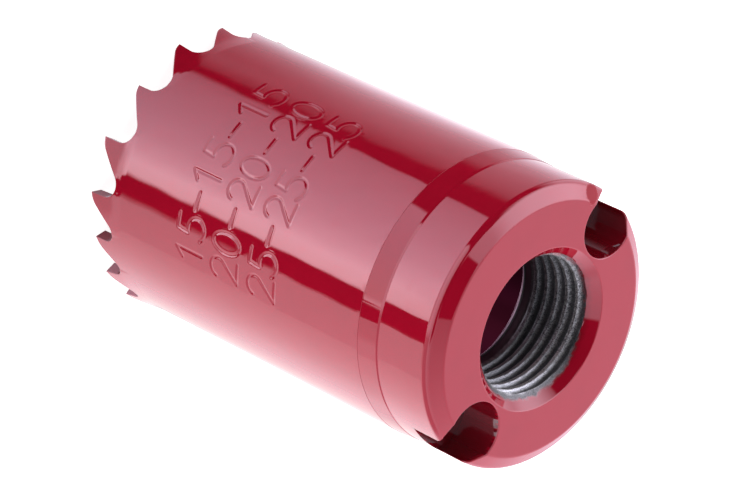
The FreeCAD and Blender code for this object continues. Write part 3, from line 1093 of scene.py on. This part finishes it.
def sweep_light(make, azimuth, elevation):
    """The lit table below the horizon: a ramp over the azimuth, changed in strips further out."""
    level = ramp_over_azimuth(make, azimuth, SWEEP_LEVELS, TALLEST_LEVEL)
    level = make.times(level, make.ramp(elevation, -45.0, -38.0, 1.0, 1.14))
    left = make.mix(make.ramp(elevation, -43.5, -41.0), 0.62, 1.0)
    left = make.mix(make.ramp(elevation, -40.5, -35.0), left, 0.6)
    level = make.times(level, make.mix(window(make, azimuth, 85.0, 186.0, 8.0), 1.0, left))
    for start, rise, share in ((200, (-38.0, -33.5), 1.0), (285, (-41.0, -37.5), 0.55)):
        strip = make.times(make.ramp(azimuth, start, start + 15), make.ramp(azimuth, 318, 312))
        level = make.mix(make.times(strip, make.ramp(elevation, *rise), share), level, TABLE_LEVEL)
    for low, high, soft, brightness in SWEEP_STRIPS:
        strip = make.times(window(make, azimuth, low, high, soft), make.ramp(elevation, *STRIP_RISE))
        level = make.times(level, make.mix(strip, 1.0, brightness))
    return level


def dark_flags(make, direction, azimuth, elevation):
    """Two dark upright flags: the first widens as the square of the height, the second has a torn edge."""
    up = make.most(make.plus(elevation, 43.5), 0.0)
    up_squared = make.times(up, up)
    soft = make.ramp(elevation, -44.5, -40.5, 3.6, 1.4)
    right = make.plus(213.0, make.times(up, 1.2), make.times(up_squared, 0.115))
    right = make.math("MINIMUM", right, 252.0)
    left = make.most(make.minus(205.0, make.times(up_squared, 0.25)), 178.0)
    left = make.plus(left, make.ramp(elevation, 8.0, 28.0, 0.0, 30.0))
    left_soft = make.math("MINIMUM", make.plus(soft, make.times(up, 0.8)), 12.0)
    first = window(make, azimuth, left, right, left_soft, soft)
    torn = make.minus(make.noise(direction, 22.0, 3.0, 0.6), 0.5)
    torn = make.times(torn, make.ramp(elevation, -41.0, -36.0, 5.0, 26.0))
    second_left = make.plus(311.5, make.times(up, 0.5))
    second = window(make, make.plus(azimuth, torn), second_left, 330.5, soft)
    first = make.times(first, make.ramp(elevation, 48.0, 36.0))
    return make.most(first, make.times(second, make.ramp(elevation, -24.0, -30.0)))


def nearness(make, direction, azimuth, elevation, inner, outer):
    """1 within an angle of a direction, falling to 0 at a wider one, read from the cosine between them."""
    azimuth, elevation, inner, outer = (math.radians(angle) for angle in (azimuth, elevation, inner, outer))
    cosine = make.vector_math("DOT_PRODUCT", direction, outward_direction(azimuth, elevation))
    return make.ramp(cosine, math.cos(outer), math.cos(inner))


def overhead_light(make, direction, azimuth, elevation):
    """Above the horizon: a fall towards the top, two bright soft panels, dark gaps and a dim corner."""
    above = make.minus(1.3, make.times(make.most(elevation, -5.0), 0.0115))
    for *place, brightness in PANELS:
        above = make.plus(above, make.times(nearness(make, direction, *place), brightness))
    above = make.mix(nearness(make, direction, *DARK_DISK), above, DARK_LEVEL)
    gap = make.times(window(make, azimuth, 206.0, 331.0, 3.0), window(make, elevation, 39.0, 60.0, 1.5))
    above = make.mix(gap, above, DARK_LEVEL)
    corner = make.most(make.ramp(azimuth, 312, 322), make.ramp(azimuth, 44, 26))
    return make.mix(make.times(corner, make.ramp(elevation, 30.0, 18.0)), above, 0.5)


def panel_light(make):
    """Brightness and blue share of the surroundings that a glossy surface mirrors, by direction."""
    direction = make.add("ShaderNodeTexCoord").outputs["Generated"]
    x, y, z = make.split(direction)
    azimuth = make.times(make.math("ARCTAN2", y, x), DEGREES_PER_RADIAN)
    azimuth = make.math("WRAP", azimuth, FULL_TURN, 0.0)
    elevation = make.times(make.math("ARCSINE", z), DEGREES_PER_RADIAN)
    above = overhead_light(make, direction, azimuth, elevation)
    level = make.mix(make.ramp(elevation, *HORIZON), sweep_light(make, azimuth, elevation), above)
    level = make.mix(dark_flags(make, direction, azimuth, elevation), level, DARK_LEVEL)
    blue = ramp_over_azimuth(make, azimuth, SWEEP_TINTS, TALLEST_TINT)
    return level, make.mix(make.ramp(elevation, *HORIZON), blue, 1.16)


def stage_world(studio):
    """White surroundings: white to the camera, a plain level to matt surfaces, panels and flags to gloss."""
    world = bpy.data.worlds.new("Studio")
    world.use_nodes = True
    tree = world.node_tree
    tree.nodes.clear()
    make = NodeMaker(tree)
    path = make.add("ShaderNodeLightPath").outputs
    mirrored, blue = panel_light(make)
    level = make.mix(path["Is Glossy Ray"], studio.ambient, mirrored)
    level = make.mix(make.most(path["Is Camera Ray"], path["Is Transmission Ray"]), level, 1.0)
    mirrored_colour = make.add("ShaderNodeCombineColor")
    for socket, value in zip(mirrored_colour.inputs, (1.0, 1.0, blue)):
        make.put(socket, value)
    colour = make.mix_colour(path["Is Glossy Ray"], (1, 1, 1, 1), mirrored_colour.outputs[0])
    background = make.add("ShaderNodeBackground")
    make.fill(background.inputs, {"Strength": level, "Color": colour})
    output = make.add("ShaderNodeOutputWorld")
    tree.links.new(background.outputs[0], output.inputs["Surface"])
    bpy.context.scene.world = world


FLOOR_RADIUS, FLOOR_CORNERS, FLOOR_DROP, FLOOR_GLOW = 0.7, 48, 0.00002, 0.86


def stage_floor(colours):
    """Level white floor that shows as white to the camera and keeps a soft shadow."""
    mesh = bpy.data.meshes.new("Floor")
    around = np.linspace(0, TWO_PI, FLOOR_CORNERS, endpoint=False)
    corners = cylinder_points(FLOOR_RADIUS, around, -FLOOR_DROP)
    mesh.from_pydata(corners.tolist(), [], [list(range(FLOOR_CORNERS))])
    floor = link("Floor", mesh)
    material, make, shader = new_material("Pale floor")
    cloud = make.noise(make.add("ShaderNodeTexCoord").outputs["Object"], 6.0)
    path = make.add("ShaderNodeLightPath").outputs
    shown = make.most(path["Is Camera Ray"], path["Is Glossy Ray"])
    make.fill(shader, {
        "Base Color": make.mix_colour(cloud, rgba(colours.floor), (0.9, 0.9, 0.9, 1.0)),
        "Roughness": 0.9,
        "Emission Color": (1.0, 1.0, 1.0, 1.0),
        "Emission Strength": make.times(shown, FLOOR_GLOW),
    })
    mesh.materials.append(material)
    floor.visible_glossy = False


# Each lamp's azimuth and elevation, and the size, the distance and the aim that all three share
LAMPS = (("Left lamp", -165, 6), ("Right lamp", -10, 6), ("Back lamp", 100, 35))
LAMP_SIZE, LAMP_DISTANCE, LAMP_AIM = 0.5, 0.6, 0.025


def stage_lamp(name, watts, azimuth, elevation):
    """One wide soft lamp on a sphere round the saw, facing it: it lights matt surfaces and isn't mirrored."""
    light = bpy.data.lights.new(name, "AREA")
    light.shape = "DISK"
    light.size = LAMP_SIZE
    light.energy = watts
    lamp = link(name, light)
    outwards = outward_direction(math.radians(azimuth), math.radians(elevation))
    place = outwards * LAMP_DISTANCE + Vector((0, 0, LAMP_AIM))
    lamp.matrix_world = Matrix.Translation(place) @ facing(outwards).to_4x4()
    lamp.visible_glossy = False
    lamp.visible_camera = False


class HOLESAW_OT_stage(bpy.types.Operator):
    """Sets up the camera, the light and the floor"""

    bl_idname = "hole_saw.stage"
    bl_label = "Stage"

    def execute(self, context):
        scene, studio = context.scene, context.scene.hole_saw_studio
        scene.view_settings.view_transform = "Standard"
        stage_camera(studio)
        stage_world(studio)
        stage_floor(scene.hole_saw_colours)
        levels = (studio.left_watts, studio.right_watts, studio.back_watts)
        for (name, azimuth, elevation), watts in zip(LAMPS, levels):
            stage_lamp(name, watts, azimuth, elevation)
        return {"FINISHED"}


class HOLESAW_PT_panel(bpy.types.Panel):
    """Lists the saw's builders and its sizes"""

    bl_label = "Hole Saw"
    bl_idname = "HOLESAW_PT_panel"
    bl_space_type = "VIEW_3D"
    bl_region_type = "UI"
    bl_category = "Hole Saw"

    def draw(self, context):
        for operator in OPERATORS:
            self.layout.operator(operator.bl_idname)
        scene = context.scene
        for group in (scene.hole_saw_sizes, scene.hole_saw_colours, scene.hole_saw_studio):
            box = self.layout.box()
            for name in group.__annotations__:
                box.prop(group, name)


OPERATORS = (HOLESAW_OT_stage, HOLESAW_OT_shell, HOLESAW_OT_teeth, HOLESAW_OT_cap)
GROUPS = (HoleSawSizes, HoleSawColours, HoleSawStudio)


def register():
    """Adds the classes and their settings to the scene."""
    for kind in (*GROUPS, *OPERATORS, HOLESAW_PT_panel):
        bpy.utils.register_class(kind)
    bpy.types.Scene.hole_saw_sizes = bpy.props.PointerProperty(type=HoleSawSizes)
    bpy.types.Scene.hole_saw_colours = bpy.props.PointerProperty(type=HoleSawColours)
    bpy.types.Scene.hole_saw_studio = bpy.props.PointerProperty(type=HoleSawStudio)


def unregister():
    """Takes the classes and their settings away."""
    del bpy.types.Scene.hole_saw_sizes
    del bpy.types.Scene.hole_saw_colours
    del bpy.types.Scene.hole_saw_studio
    for kind in reversed((*GROUPS, *OPERATORS, HOLESAW_PT_panel)):
        bpy.utils.unregister_class(kind)


def main():
    """Builds everything."""
    register()
    bpy.ops.hole_saw.stage()
    bpy.ops.hole_saw.shell()
    bpy.ops.hole_saw.teeth()
    bpy.ops.hole_saw.cap()


if __name__ == "__main__":
    main()
